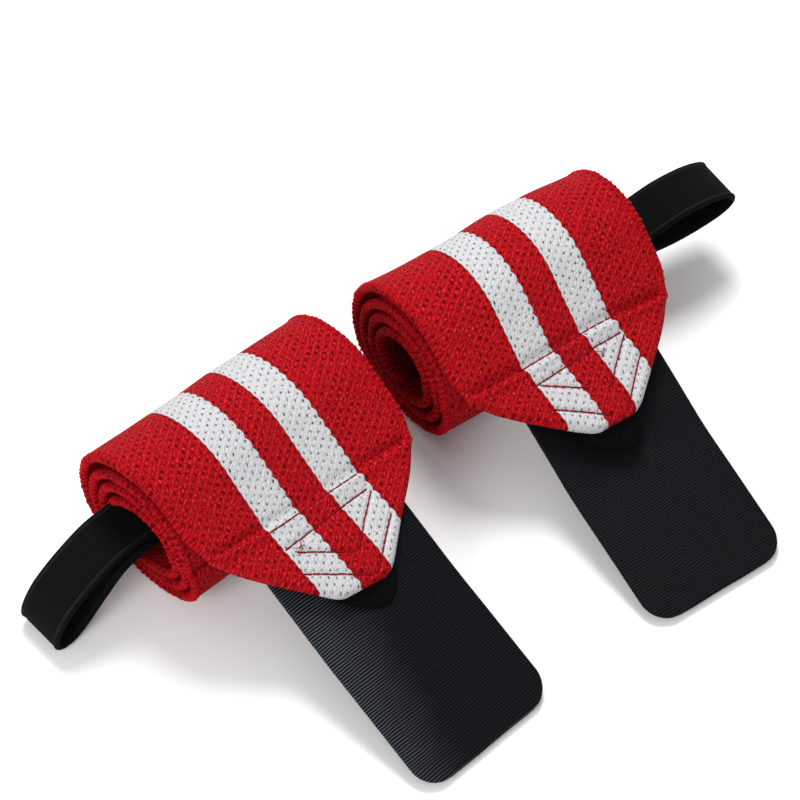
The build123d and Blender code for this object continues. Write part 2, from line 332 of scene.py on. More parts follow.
def tube(path, radius, sides=6):
    """Vertices and faces of a closed tube with pinched ends along a path of points."""
    path = np.asarray(path, float)
    tangent = np.gradient(path, axis=0)
    tangent /= np.linalg.norm(tangent, axis=1)[:, None]
    no_tangent = np.array([0.31, 0.52, 0.79])
    side = np.cross(tangent, no_tangent)
    side /= np.linalg.norm(side, axis=1)[:, None]
    up = np.cross(tangent, side)
    angles = np.arange(sides) * 2 * math.pi / sides
    taper = np.ones(len(path))
    taper[[0, -1]] = 0.45
    ring = side[:, None] * np.cos(angles)[None, :, None] + up[:, None] * np.sin(angles)[None, :, None]
    vertices = (path[:, None] + ring * (radius * taper)[:, None, None]).reshape(-1, 3)
    faces = []
    for k in range(len(path) - 1):
        for j in range(sides):
            a, b = k * sides + j, k * sides + (j + 1) % sides
            faces.append((a, b, b + sides, a + sides))
    faces += [tuple(range(sides))[::-1], tuple(range(len(vertices) - sides, len(vertices)))]
    return vertices, faces


def tubes_object(name, wrap, paths, radius, material, sides=6):
    """One object made of many separate tubes."""
    vertices, faces, start = [], [], 0
    for path in paths:
        points, polygons = tube(path, radius, sides)
        vertices.append(wrap.world(points))
        faces += [tuple(v + start for v in polygon) for polygon in polygons]
        start += len(points)
    return mesh_object(name, np.concatenate(vertices), faces, material)


# ------------------------------------ node material helpers

class Wire:
    """A socket of a node tree that takes part in sums, so that a pattern reads as a formula."""

    def __init__(self, tree, socket):
        self.tree = tree
        self.socket = socket

    def _math(self, operation, *others, clamp=False):
        node = self.tree.nodes.new("ShaderNodeMath")
        node.operation = operation
        node.use_clamp = clamp
        for slot, value in enumerate((self, *others)):
            if isinstance(value, Wire):
                self.tree.links.new(value.socket, node.inputs[slot])
            else:
                node.inputs[slot].default_value = value
        return Wire(self.tree, node.outputs[0])

    def __add__(self, other): return self._math("ADD", other)
    def __sub__(self, other): return self._math("SUBTRACT", other)
    def __mul__(self, other): return self._math("MULTIPLY", other)
    def __truediv__(self, other): return self._math("DIVIDE", other)
    def floor(self): return self._math("FLOOR")
    def fract(self): return self._math("FRACT")
    def mod(self, other): return self._math("FLOORED_MODULO", other)
    def abs(self): return self._math("ABSOLUTE")
    def sin(self): return self._math("SINE")
    def sqrt(self): return self._math("SQRT")
    def min(self, other): return self._math("MINIMUM", other)
    def max(self, other): return self._math("MAXIMUM", other)
    def clamp(self): return self._math("ADD", 0.0, clamp=True)
    def flip(self): return (self * -1.0) + 1.0

    def ramp(self, low, high):
        """0 below low, 1 above high and smooth between."""
        node = self.tree.nodes.new("ShaderNodeMapRange")
        node.interpolation_type = "SMOOTHSTEP"
        node.inputs["From Min"].default_value = low
        node.inputs["From Max"].default_value = high
        self.tree.links.new(self.socket, node.inputs["Value"])
        return Wire(self.tree, node.outputs["Result"])


# The Mix node's colour sockets, which share their names with those of its other types
MIX_COLOURS_IN = (6, 7)
MIX_COLOUR_OUT = 2


class Fabric:
    """A procedural material with the piece's flat coordinates in millimetres."""

    def __init__(self, name, roughness, specular):
        self.material = bpy.data.materials.new(name)
        self.material.use_nodes = True
        self.tree = self.material.node_tree
        self.shader = self.tree.nodes["Principled BSDF"]
        self.shader.inputs["Roughness"].default_value = roughness
        self.shader.inputs["Specular IOR Level"].default_value = specular

    def flat(self):
        """Flat coordinates: across and along, in millimetres."""
        uv = self.tree.nodes.new("ShaderNodeUVMap")
        uv.uv_map = "flat"
        split = self.tree.nodes.new("ShaderNodeSeparateXYZ")
        self.tree.links.new(uv.outputs["UV"], split.inputs[0])
        return Wire(self.tree, split.outputs["X"]), Wire(self.tree, split.outputs["Y"])

    def vector(self, x, y):
        """A point of a flat pattern, for a texture's input."""
        node = self.tree.nodes.new("ShaderNodeCombineXYZ")
        self.tree.links.new(x.socket, node.inputs["X"])
        self.tree.links.new(y.socket, node.inputs["Y"])
        return node.outputs["Vector"]

    def noise(self, vector, scale, detail=2.0, roughness=0.5):
        """Cloudy noise between 0 and 1."""
        node = self.tree.nodes.new("ShaderNodeTexNoise")
        node.inputs["Scale"].default_value = scale
        node.inputs["Detail"].default_value = detail
        node.inputs["Roughness"].default_value = roughness
        self.tree.links.new(vector, node.inputs["Vector"])
        return Wire(self.tree, node.outputs["Fac"])

    def object_noise(self, scale, detail=2.0):
        """Cloudy noise in the frame's metres, for pieces without flat coordinates."""
        coordinate = self.tree.nodes.new("ShaderNodeTexCoord")
        return self.noise(coordinate.outputs["Object"], scale, detail)

    def cell_random(self, x, y):
        """A random number for each cell (x, y)."""
        node = self.tree.nodes.new("ShaderNodeTexWhiteNoise")
        node.noise_dimensions = "2D"
        self.tree.links.new(self.vector(x, y), node.inputs["Vector"])
        return Wire(self.tree, node.outputs["Value"])

    def mix(self, factor, first, second):
        """Colour first where factor is 0, second where it is 1; each is a colour or a socket."""
        node = self.tree.nodes.new("ShaderNodeMix")
        node.data_type = "RGBA"
        self.tree.links.new(factor.socket, node.inputs["Factor"])
        for slot, value in zip(MIX_COLOURS_IN, (first, second)):
            if isinstance(value, tuple):
                node.inputs[slot].default_value = (*value, 1.0)
            else:
                self.tree.links.new(value, node.inputs[slot])
        return node.outputs[MIX_COLOUR_OUT]

    def finish(self, colour, height, depth, strength=1.0):
        """The material with its colour and a bump of the given depth in millimetres."""
        self.tree.links.new(colour, self.shader.inputs["Base Color"])
        bump = self.tree.nodes.new("ShaderNodeBump")
        bump.inputs["Distance"].default_value = depth * MM
        bump.inputs["Strength"].default_value = strength
        self.tree.links.new(height.socket, bump.inputs["Height"])
        self.tree.links.new(bump.outputs["Normal"], self.shader.inputs["Normal"])
        return self.material


# ------------------------------------ materials

# Linear colours
RED_PAINTED_HIGHLIGHT = (0.67, 0.020, 0.030)
RED_MID = (0.49, 0.005, 0.010)
RED_DARK = (0.075, 0.0003, 0.001)
WHITE_LIGHT = (0.575, 0.575, 0.585)
WHITE_SHADE = (0.40, 0.40, 0.42)
HOLE_DARK = (0.035, 0.030, 0.035)
PAINTED_ROLL_SHADE = (0.02, 0.0004, 0.0008)
WHIP_DARK = (0.20, 0.001, 0.003)
WHIP_LIGHT = (0.60, 0.006, 0.014)
THREAD_DARK = (0.11, 0.001, 0.004)
THREAD_LIGHT = (0.23, 0.003, 0.009)
ELASTIC_DARK = (0.0006, 0.0006, 0.0007)
ELASTIC_LIGHT = (0.0135, 0.0135, 0.0140)
TAPE_DARK = (0.0004, 0.0005, 0.0006)
TAPE_LIGHT = (0.0085, 0.0098, 0.0125)
# Painted satin sheen on the tape's ribs
TAPE_PAINTED_SHEEN = (0.075, 0.085, 0.105)
BACKING_DARK = (0.0006, 0.0006, 0.0006)
BACKING_LIGHT = (0.0030, 0.0030, 0.0030)
HOOK_DARK = (0.004, 0.004, 0.005)
HOOK_LIGHT = (0.030, 0.030, 0.034)
FLOOR_DARK = (0.90, 0.90, 0.90)
FLOOR_LIGHT = (0.92, 0.92, 0.92)

# Knit, in millimetres: a stitch's width and height, a stripe's scallop, the sine and cosine of the
# stitches' slant, and how far the stripes' inner and outer edges lie from the strap's middle
COURSE = 1.75
WALE = 2.7
SCALLOP = 3.3
SLANT_SIN, SLANT_COS = 0.64, 0.77
STRIPE_INNER = 5.2
STRIPE_OUTER = 15.9

# Ribs of the elastic and of the tape's back, and the finer threads that cross them
ELASTIC_RIB = 1.05
ELASTIC_WEFT = 0.62
TAPE_RIB = 0.85
TAPE_CROSS = 0.6


def knit_material():
    """Red knitted elastic with two white stripes, eyelet holes and scalloped stripe edges."""
    fabric = Fabric("knitted_elastic", roughness=0.85, specular=0.06)
    x, s = fabric.flat()

    # Stitches in columns, every other one half a stitch up, none quite straight
    wander = fabric.noise(fabric.vector(x, s), 0.25, 2.0)
    jitter = fabric.noise(fabric.vector(x + 31.0, s), 0.55, 2.0)
    across = x + (wander - 0.5) * 0.9
    along = s + (jitter - 0.5) * 1.6
    column = across / COURSE
    column_index = column.floor()
    row = along / WALE + column_index.mod(2.0) * 0.5
    fu = column.fract() - 0.5
    fv = row.fract() - 0.5
    chance = fabric.cell_random(column_index, row.floor())

    # Eyelets are longer along the slant of the stitches than across it
    long_way = fv * (WALE * SLANT_COS) - fu * (COURSE * SLANT_SIN)
    short_way = fu * (COURSE * SLANT_COS) + fv * (WALE * SLANT_SIN)
    reach = (long_way * long_way * 2.2 + short_way * short_way * 7.5).sqrt()
    hole = reach.ramp(0.42, 1.30).flip() * (chance * 0.45 + 0.55)

    # Yarn: two strands to a stitch, and fine fibres along the slant
    strand = ((row * 2.0 + fu * 1.1).fract() - 0.5).abs() * 2.0
    loops = strand.ramp(0.05, 0.8)
    fleck = fabric.noise(fabric.vector((across * SLANT_COS + along * SLANT_SIN) * 1.5,
                                       along * SLANT_COS * 0.7 - across * SLANT_SIN * 0.7), 1.5, 3.0, 0.6)
    grain = fleck.ramp(0.36, 0.64)

    # How far inside the nearer white stripe, scalloped most on the stripes' right-hand edges
    tooth = ((s / SCALLOP).fract() * math.pi).sin().abs()
    fine_tooth = ((s / WALE + 0.3).fract() * math.pi).sin().abs()
    stripes = None
    for left, right in ((-STRIPE_OUTER, -STRIPE_INNER), (STRIPE_INNER, STRIPE_OUTER)):
        from_left = x - left + fine_tooth * 0.22 - 0.15
        to_right = (x * -1.0) + right + tooth * 0.62 - 0.40
        inside = from_left.min(to_right)
        stripes = inside if stripes is None else stripes.max(inside)
    white = stripes.ramp(-0.08, 0.10)
    # Painted shade in a thin groove along the stripes' edges, on the red side
    stripe_edge_shade = stripes.abs().ramp(0.0, 0.5).flip() * white.flip()

    # Colours, darker in the eyelets, with painted highlight specks on the red and painted shade beside the
    # stripes, at the strap's rims and deep inside the roll
    tone = (grain * 0.45 + loops * 0.30 - hole * 1.05 + 0.33).clamp()
    red_low = fabric.mix(tone, RED_DARK, RED_MID)
    # Painted highlights: pale specks on the red yarn's strands
    painted_highlight_specks = (grain * loops).ramp(0.45, 1.15)
    red = fabric.mix(painted_highlight_specks, red_low, RED_PAINTED_HIGHLIGHT)
    red = fabric.mix(stripe_edge_shade * 0.7, red, RED_DARK)
    white_tone = (grain * 0.55 + loops * 0.35 + 0.1).clamp()
    pale = fabric.mix(white_tone, WHITE_SHADE, WHITE_LIGHT)
    white_hole = reach.ramp(0.38, 0.92).flip() * (chance * 0.45 + 0.55)
    pale = fabric.mix(white_hole, pale, HOLE_DARK)
    colour = fabric.mix(white, red, pale)
    # Painted shade along the strap's rims, under and between the whipping's thread bars
    rim = x.abs().ramp(35.4, 36.8) * 0.25
    colour = fabric.mix(rim, colour, RED_DARK)
    # Painted shade deep inside the roll, fading out towards the strap's side edges
    depth = s.ramp(-470.0, -250.0).flip() * x.abs().ramp(33.0, 38.5).flip() * 0.85
    colour = fabric.mix(depth, colour, PAINTED_ROLL_SHADE)

    relief = loops * 0.25 + grain * 0.45 - hole * 0.9
    height = relief * (white * -0.5 + 1.0) + stripes.ramp(-0.3, 0.6) * 0.7
    return fabric.finish(colour, height, depth=0.6, strength=0.9)


def whip_material():
    """Red yarn of the whipped edges, flecked and a little uneven."""
    fabric = Fabric("edge_whipping", roughness=0.85, specular=0.06)
    fleck = fabric.object_noise(900.0, 3.0)
    cloud = fabric.object_noise(120.0)
    colour = fabric.mix((fleck * 0.7 + cloud * 0.5 - 0.1).clamp(), WHIP_DARK, WHIP_LIGHT)
    return fabric.finish(colour, fleck, depth=0.15)


def flecked_material(name, dark, light, roughness, specular, scale, depth, strength=1.0):
    """A plain material with small flecks between two colours."""
    fabric = Fabric(name, roughness, specular)
    fleck = fabric.object_noise(scale)
    return fabric.finish(fabric.mix(fleck, dark, light), fleck, depth, strength)


def elastic_material():
    """Black ribbed elastic: ribs run along the band and fine weft crosses them."""
    fabric = Fabric("black_elastic", roughness=0.75, specular=0.05)
    x, s = fabric.flat()
    rib = ((x / ELASTIC_RIB).fract() - 0.5).abs() * 2.0
    weft = ((s / ELASTIC_WEFT + (x / ELASTIC_RIB).floor() * 0.5).fract() - 0.5).abs() * 2.0
    edge = x.abs().ramp(6.2, 6.6) * x.abs().ramp(6.9, 7.2).flip()
    grain = fabric.noise(fabric.vector(x * 1.4, s), 2.4, 3.0, 0.7)
    tone = (rib.ramp(0.15, 0.9) * 0.15 + weft * 0.30 + grain * 0.8 + edge * 0.8 - 0.42).clamp()
    colour = fabric.mix(tone, ELASTIC_DARK, ELASTIC_LIGHT)
    height = rib.ramp(0.1, 0.8) * 0.3 + weft * (edge * 0.6 + 0.4) + grain * 0.5
    return fabric.finish(colour, height, depth=0.3)


def tape_material(name, contrast, painted_sheen):
    """Black hook tape with fine ribs across its woven back.

    From 0 to 1, contrast is how far the ribs stand out in colour and bump, and the last argument how strongly a
    satin sheen is painted on the ribs' left part.
    """
    fabric = Fabric(name, roughness=0.45, specular=0.055)
    x, s = fabric.flat()
    drift = fabric.noise(fabric.vector(x, s), 0.12, 2.0)
    rib = (((s + drift * 1.2) / TAPE_RIB).fract() - 0.5).abs() * 2.0
    cross = ((x / TAPE_CROSS).fract() - 0.5).abs() * 2.0
    grain = fabric.noise(fabric.vector(x * 0.5, s * 3.0), 1.2, 2.0)
    tone = (rib.ramp(0.2, 0.9) * contrast + grain * 0.4 + (0.4 - contrast) * 0.5).clamp()
    colour = fabric.mix(tone, TAPE_DARK, TAPE_LIGHT)
    # Painted sheen: the ribs paler towards the tape's left side and its root
    sheen_mask = (x + s * 0.20 + drift * 8.0).ramp(-14.0, 11.0).flip() * rib.ramp(0.35, 0.9) * painted_sheen
    colour = fabric.mix(sheen_mask, colour, TAPE_PAINTED_SHEEN)
    height = rib.ramp(0.1, 0.9) + cross * 0.12 + grain * 0.25
    return fabric.finish(colour, height, depth=contrast * 0.43)


# ------------------------------------ the strap's middle line

def askew(skew, x):
    """How far down the flap the crease lies at x, from the slopes of its left and right halves."""
    return np.where(x < 0, skew[0], skew[1]) * x


class Line:
    """The strap's middle line in the plane across the roll, from its inner end to its point."""

    def __init__(self, wrap):
        coil = self.coil_points(wrap)
        lean = math.radians(wrap.leave)
        slope = math.radians(FLAP_SLOPE)
        leave = coil[-1]
        ramp = (leave[0] - wrap.ramp_end) / math.cos(lean)
        down = np.array([-math.cos(lean), -math.sin(lean)])
        bend = lean - slope
        tangent = CREASE_RADIUS * math.tan(bend / 2)

        # Straight down the ramp, round the crease, and down the flap, whose point curls further down
        straight = np.arange(LINE_STEP, ramp - tangent, LINE_STEP)[:, None]
        points = [coil, leave + straight * down]
        start = leave + (ramp - tangent) * down
        turn = np.linspace(0, bend, 12)
        rounded = np.array([np.sin(lean - turn) - np.sin(lean), np.cos(lean) - np.cos(lean - turn)]).T
        points.append(start + CREASE_RADIUS * rounded)
        last = points[-1][-1]
        out = np.arange(LINE_STEP, FLAP_REACH, LINE_STEP)
        curl = np.radians(FLAP_SLOPE + TIP_CURL * smooth(17.0, 30.0, out))
        steps = np.stack([-np.cos(curl), -np.sin(curl)], -1) * LINE_STEP
        points.append(last + np.cumsum(steps, 0))

        self.points = np.concatenate(points)
        gaps = np.linalg.norm(np.diff(self.points, axis=0), axis=1)
        length = np.concatenate([[0], np.cumsum(gaps)])
        coil_length = length[len(coil) - 1]
        self.length = length - coil_length - ramp
        self.inner = self.length[0]
        self.leave = -ramp
        self.down = down
        self.skew = wrap.bend_skew
        self.normals = line_normals(self.points)

    @staticmethod
    def coil_points(wrap):
        """The rolled part, a flattened spiral that stands on the table and bulges forwards."""
        turns = np.linspace(ROLL_TURNS, 0, int(ROLL_TURNS * COIL_POINTS))
        step = turns - EASE_TURNS * (1 - np.exp(-turns / EASE_TURNS))
        radius = ROLL_R - STRAP_T / 2
        wide = radius - wrap.wide_step * step
        tall = radius - (wrap.top_step + wrap.bottom_step) / 2 * step
        base = STRAP_T / 2 + WHIP_RADIUS + wrap.bottom_step * np.maximum(0, turns - BASE_TURNS)
        angle = np.radians(90 + wrap.leave) - turns * 2 * math.pi
        below = np.degrees(np.remainder(angle + math.pi, 2 * math.pi)) - BELLY_AT
        belly = wrap.belly * hill(below, 0, BELLY_SPREAD) * (1 - 0.7 * turns / ROLL_TURNS)
        y = wrap.drift * step + wide * np.cos(angle) - belly
        z = base + tall + tall * np.sin(angle)
        return np.stack([y, z], -1)

    def place(self, x, s, height):
        """Points at x across, s along and height above the outer face; the crease runs askew."""
        x, s, height = np.broadcast_arrays(x, s, height)
        late = askew(self.skew, x) * smooth(self.leave + 1.0, -2.0, s)
        y, z, ny, nz = (np.interp(s - late, self.length, column)
                        for column in (*self.points.T, *self.normals.T))
        lift = STRAP_T / 2 + height
        y = y + ny * lift + late * self.down[0]
        z = z + nz * lift + late * self.down[1]
        return np.stack([x, y, z], -1)


# ------------------------------------ strap pieces

def column_fractions():
    """Places of the strap's columns across its width, closer together at its edges."""
    width = 2 * STRAP_HALF
    edge = np.array([0, 0.05, 0.2, 0.45, 0.8, 1.2, 1.7, 2.3, 3.0])
    middle = np.linspace(3.7, width - 3.7, 82)
    return np.concatenate([edge, middle, width - edge[::-1]]) / width


def flap_bounds(wrap, part):
    """Left and right (x, s) of the flap at part 0 (crease) to 1 (tip)."""
    ends = []
    for side, crease_s, tip in ((-1, wrap.crease[0], wrap.tip[0]), (1, wrap.crease[1], wrap.tip[1])):
        x = side * STRAP_HALF + (tip[0] - side * STRAP_HALF) * part
        s = crease_s + (tip[1] - crease_s) * part
        past = np.maximum(0, s - (tip[1] - TIP_ROUND))
        x = x - side * corner_inset(past, TIP_ROUND)
        ends.append((x, s))
    return ends


def seam_distance(wrap, x, s):
    """Distance to the nearest sewn seam."""
    nearest = np.full(np.shape(x), 99.0)
    for legs in SEAMS[wrap.name].values():
        for (x0, s0), (x1, s1) in legs:
            reach = np.hypot(x1 - x0, s1 - s0)
            dx, ds = (x1 - x0) / reach, (s1 - s0) / reach
            t = np.clip((x - x0) * dx + (s - s0) * ds, 0, reach)
            nearest = np.minimum(nearest, np.hypot(x - x0 - dx * t, s - s0 - ds * t))
    return nearest


def strap_heights(wrap, x, s, edge):
    """Heights of the top and bottom faces over the outer face's line, edge being the way to the rim."""
    bent = s - askew(wrap.bend_skew, x)
    sides = smooth(15.0, 18.0, np.abs(x))

    # Twice as thick where the corners are folded under
    folded = smooth(-0.6, 0.8, bent) * smooth(FOLD_INNER_X - 0.8, FOLD_INNER_X + 0.8, np.abs(x))
    folded = np.maximum(folded, smooth(20.0, 22.5, s))
    half = STRAP_T * (1 + folded) / 2
    arch = rounded_rim(edge, half)

    # The crease with a hollow before it, the puffed cloth between the rows of stitches, and the rows
    ridge = hill(bent, 0.7, 1.2)
    hollow = 0.75 * hill(bent, -2.3, 1.5) + 0.9 * sides * hill(bent, -1.3, 0.8)
    puff = 0.35 * hill(s, 2.8, 1.8) * (1 - sides)
    sink = 0.55 * hill(seam_distance(wrap, x, s), 0, 0.8)
    on_flap = smooth(-7.0, -3.0, s)

    # Slow waves all over
    swell = 0.132 * np.sin(0.21 * s + 0.13 * x) * np.sin(0.17 * x + 1.0)
    inner = smooth(0.0, 2.5, edge)
    top = arch - half + (ridge + puff - hollow - sink) * on_flap * inner + swell * inner
    return top, -half - arch


def strap_grid(wrap, line, lengths, parts):
    """Top and bottom grids and flat coordinates over roll rows at lengths and flap rows at parts."""
    fractions = column_fractions()
    rows_x, rows_s = [], []
    for s in lengths:
        skew = smooth(-14.0, 0.0, s)
        left_s = s + wrap.crease[0] * skew
        right_s = s + wrap.crease[1] * skew
        rows_x.append(-STRAP_HALF + 2 * STRAP_HALF * fractions)
        rows_s.append(left_s + (right_s - left_s) * fractions)
    for part in parts:
        (xl, sl), (xr, sr) = flap_bounds(wrap, part)
        rows_x.append(xl + (xr - xl) * fractions)
        rows_s.append(sl + (sr - sl) * fractions)
    x, s = np.array(rows_x), np.array(rows_s)
    x = drawn_in(wrap, x, s)
    spread = 1 - wrap.stripe_spread * smooth(STRAP_HALF, 16.0, np.abs(x))
    flat_x = x * spread - np.interp(s, [-4.0, 20.0], wrap.stripe_drift)
    (_, left_tip), (_, right_tip) = flap_bounds(wrap, 1.0)
    tip_line = left_tip + (right_tip - left_tip) * fractions
    edge = smooth_least([way_in(x) * 0.75, np.maximum(tip_line - s, 0)], sharpness=1.6)
    edge = np.maximum(0, edge)
    edge[:, [0, -1]] = 0
    if len(parts):
        edge[-1] = 0
    top, bottom = strap_heights(wrap, x, s, edge)
    upper = line.place(x, s, top)
    lower = line.place(x, s, bottom)
    return settle(wrap, upper), settle(wrap, lower), np.stack([flat_x, s], -1)


def drawn_in(wrap, x, s):
    """x with the strap drawn in a little where the crease meets its side edges."""
    return x * (1 - CORNER_PULL / STRAP_HALF * hill(s, askew(wrap.bend_skew, x), 6.5))


def settle(wrap, points):
    """Slumps of the loosely rolled webbing, with its outer turns' edges proud of the inner ones."""
    x, y, z = np.moveaxis(points, -1, 0)
    high = smooth(10.0, 44.0, z)

    # Raised or lowered towards the top, which sags a little at both ends and waves along the roll
    all_along, right_end = wrap.end_rise
    rise = 1 + all_along * smooth(5.0, 40.0, z) + right_end * smooth(-30.0, 20.0, x)
    z = (z - 0.5 * high * smooth(18.0, 38.0, np.abs(x))) * rise
    y = y + 0.5 * np.sin(0.12 * x + 0.4) * high

    # Pushed outwards at the ends
    left = -wrap.grow[0] * smooth(-18.0, 10.0, y) * smooth(0.0, 14.0, z)
    right = wrap.grow[1] * smooth(4.0, 32.0, z)
    x = x + np.where(x < 0, left, right) * smooth(16.0, 36.0, np.abs(x))
    return np.stack([x, y, z], -1)


def make_strap(wrap, line, knit):
    """The rolled part, with finer rows on its outer turn, the end, and the length at which they meet."""
    fine_from = line.leave - FINE_LENGTH
    outer = np.arange(fine_from, line.leave - FLAP_ROOT, FINE_ROW)
    inner = np.arange(line.inner, fine_from, COARSE_ROW)
    split = outer[-1]
    coil = closed_sheet(f"{wrap.name}_rolled_webbing", wrap,
                        *strap_grid(wrap, line, np.concatenate([inner, outer]), []), knit)
    ramp = np.concatenate([np.arange(split, -2.0, 0.75), [-1.3, -0.6]])
    parts = np.concatenate([np.linspace(0, 0.84, 34), np.linspace(0.86, 0.96, 9),
                            [0.975, 0.985, 0.993, 0.998, 1.0]])
    flap = closed_sheet(f"{wrap.name}_webbing_end", wrap, *strap_grid(wrap, line, ramp, parts), knit)
    return coil, flap, split


def whip_paths(wrap, line, start, end):
    """Thread bars that wrap the strap's two side edges from start to end.

    Each goes round the rim from the top face to the bottom one, a little aslant and none quite alike.
    """
    inward = np.array([2.0, 1.3, 0.55, 0.16, 0.55, 1.3, 2.0])
    height = np.array([-0.26, -0.04, -0.36, -1.25, -2.14, -2.44, -2.24])
    slant = np.linspace(-0.35, 0.35, len(inward))
    paths = []
    for side in (-1, 1):
        for s in np.arange(start, end, WHIP_PITCH):
            wobble = rng.normal(0, 0.12, 2)
            x = side * (STRAP_HALF - inward) + wobble[0]
            skew = (wrap.crease[0] if side < 0 else wrap.crease[1]) * smooth(-14.0, 0.0, s)
            x = drawn_in(wrap, x, s + skew)
            paths.append(settle(wrap, line.place(x, s + skew + slant + wobble[1], height)))
    return paths


def seam_paths(wrap, line, legs):
    """Short thread stitches, dipping into the webbing at both ends."""
    reach = np.linspace(-0.05, 1.05, 7)
    bow = 0.22 * np.sin(np.linspace(0, math.pi, 7)) ** 0.5
    inside = np.full(7, 5.0)
    paths = []
    for (x0, s0), (x1, s1) in legs:
        count = max(2, round(math.hypot(x1 - x0, s1 - s0) / STITCH))
        for k in range(count):
            t = (k + reach) / count
            x = x0 + (x1 - x0) * t + rng.normal(0, 0.05)
            s = s0 + (s1 - s0) * t + rng.normal(0, 0.05)
            surface, _ = strap_heights(wrap, x, s, inside)
            paths.append(settle(wrap, line.place(x, s, surface - 0.02 + bow)))
    return paths


def loose_ends(wrap, line):
    """Thread tails left hanging beside the second row of stitches."""
    paths = []
    for x, s, turn, reach in wrap.tails:
        t = np.linspace(0, 1, 9)
        across = x + reach * t * math.cos(turn) + 0.5 * np.sin(4 * t)
        along = s + reach * t * math.sin(turn) + 0.4 * np.sin(5 * t + 1)
        paths.append(settle(wrap, line.place(across, along, 0.25 + 0.35 * np.sin(math.pi * t))))
    return paths


def make_seams(wrap, line, thread):
    """The sewn rows and the loose thread ends, all on the strap's end."""
    for node, legs in SEAMS[wrap.name].items():
        piece = tubes_object(f"{wrap.name}_{node}_thread", wrap, seam_paths(wrap, line, legs),
                             THREAD_RADIUS, thread)
        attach(piece, f"{wrap.name}_strap_end")
        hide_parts(f"{wrap.name}_{node}")
    tails = tubes_object(f"{wrap.name}_thread_tails", wrap, loose_ends(wrap, line), TAIL_RADIUS, thread)
    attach(tails, f"{wrap.name}_strap_end")


# ------------------------------------ hook tape

def tape_line(wrap, line):
    """The tape's top face (y, z) against length from under the crease to its end on the table."""
    slope = math.radians(FLAP_SLOPE)
    normal = np.array([-math.sin(slope), math.cos(slope)])
    root = line.place(np.array(0.0), np.array(TAPE_START), np.array(-2 * STRAP_T))[1:]
    hinge = np.array(wrap.local_yz(wrap.peel_hinge)) + normal * (TAPE_T / 2 - wrap.tape_drop)
    end = np.array([wrap.tape_end, TAPE_T + HOOK_PILE + HOOK_CLEARANCE])
    before = root + (hinge - root) * 0.55
    knots = np.array([root, before, hinge, hinge + (end - hinge) * 0.35, hinge + (end - hinge) * 0.8, end])
    return smooth_curve(knots, 200)


def make_backing(wrap, line, material):
    """The black layer between the folded corners, with its point past the strap's end."""
    left_low, left_high, point, right_high, right_low = wrap.backing
    left_side = np.array([(-BACKING_HALF, 6.0), (-BACKING_HALF, 20.0), left_low, left_high,
                          (point[0] - 2.0, point[1] - 0.8), point])
    right_side = np.array([(BACKING_HALF, 6.0), (BACKING_HALF, 20.0), right_low, right_high,
                           (point[0] + 1.6, point[1] - 0.7), point])
    near_point = point[1] - np.array([1.4, 0.9, 0.5, 0.2, 0.05])
    rows = np.concatenate([np.linspace(BACKING_START, point[1] - 2, 40), near_point])
    left, right = (np.interp(rows, side[:, 1], side[:, 0]) for side in (left_side, right_side))
    across = 0.5 - 0.5 * np.cos(np.linspace(0, math.pi, 40))
    x = left[:, None] + (right - left)[:, None] * across
    s = np.broadcast_to(rows[:, None], x.shape)
    edge = np.minimum(way_in(x), np.minimum(rows[-1] - s, s - BACKING_START))
    radius = BACKING_T / 2
    arch = rounded_rim(edge, radius)
    middle = -STRAP_T - 0.1 - radius
    curve = 0.35 * np.sin(0.4 * x) * smooth(27.0, 33.0, s)
    top = line.place(x, s, middle + arch + curve)
    bottom = line.place(x, s, middle - arch + curve)
    piece = closed_sheet(f"{wrap.name}_tip_backing_cloth", wrap,
                         settle(wrap, top), settle(wrap, bottom), np.stack([x, s], -1), material)
    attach(piece, f"{wrap.name}_strap_end")
    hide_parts(f"{wrap.name}_tip_backing")


def make_tape(wrap, line, material):
    """The hook tape with rounded corners, with its line, normals and lengths for the hooks under it."""
    curve, length = tape_line(wrap, line)
    normal = line_normals(curve)
    total = length[-1]
    past = np.maximum(0, length - (total - TAPE_CORNER))
    half = TAPE_HALF - corner_inset(past, TAPE_CORNER)
    shift = np.interp(length, [0, total], wrap.tape_shift)
    fractions = np.concatenate([[0, 0.004, 0.012, 0.025], np.linspace(0.045, 0.955, 60),
                                [0.975, 0.988, 0.996, 1]])
    x = shift[:, None] + half[:, None] * (2 * fractions - 1)
    edge = np.minimum(way_in(x), np.minimum(total - length, length)[:, None])
    radius = TAPE_T / 2
    arch = rounded_rim(edge, radius)
    ripple = 0.06 * np.sin(0.33 * x + 0.8) * smooth(total - 16, total, length)[:, None]
    grids = []
    for height in (arch - radius, -radius - arch):
        raised = height + 0.6 * ripple
        y = curve[:, 0:1] + normal[:, 0:1] * raised + ripple
        z = curve[:, 1:2] + normal[:, 1:2] * raised
        grids.append(np.stack([x, y, z], -1))
    uv = np.stack([x, np.broadcast_to(length[:, None], x.shape)], -1)
    piece = closed_sheet(f"{wrap.name}_hook_tape", wrap, *grids, uv, material)
    return piece, curve, normal, length


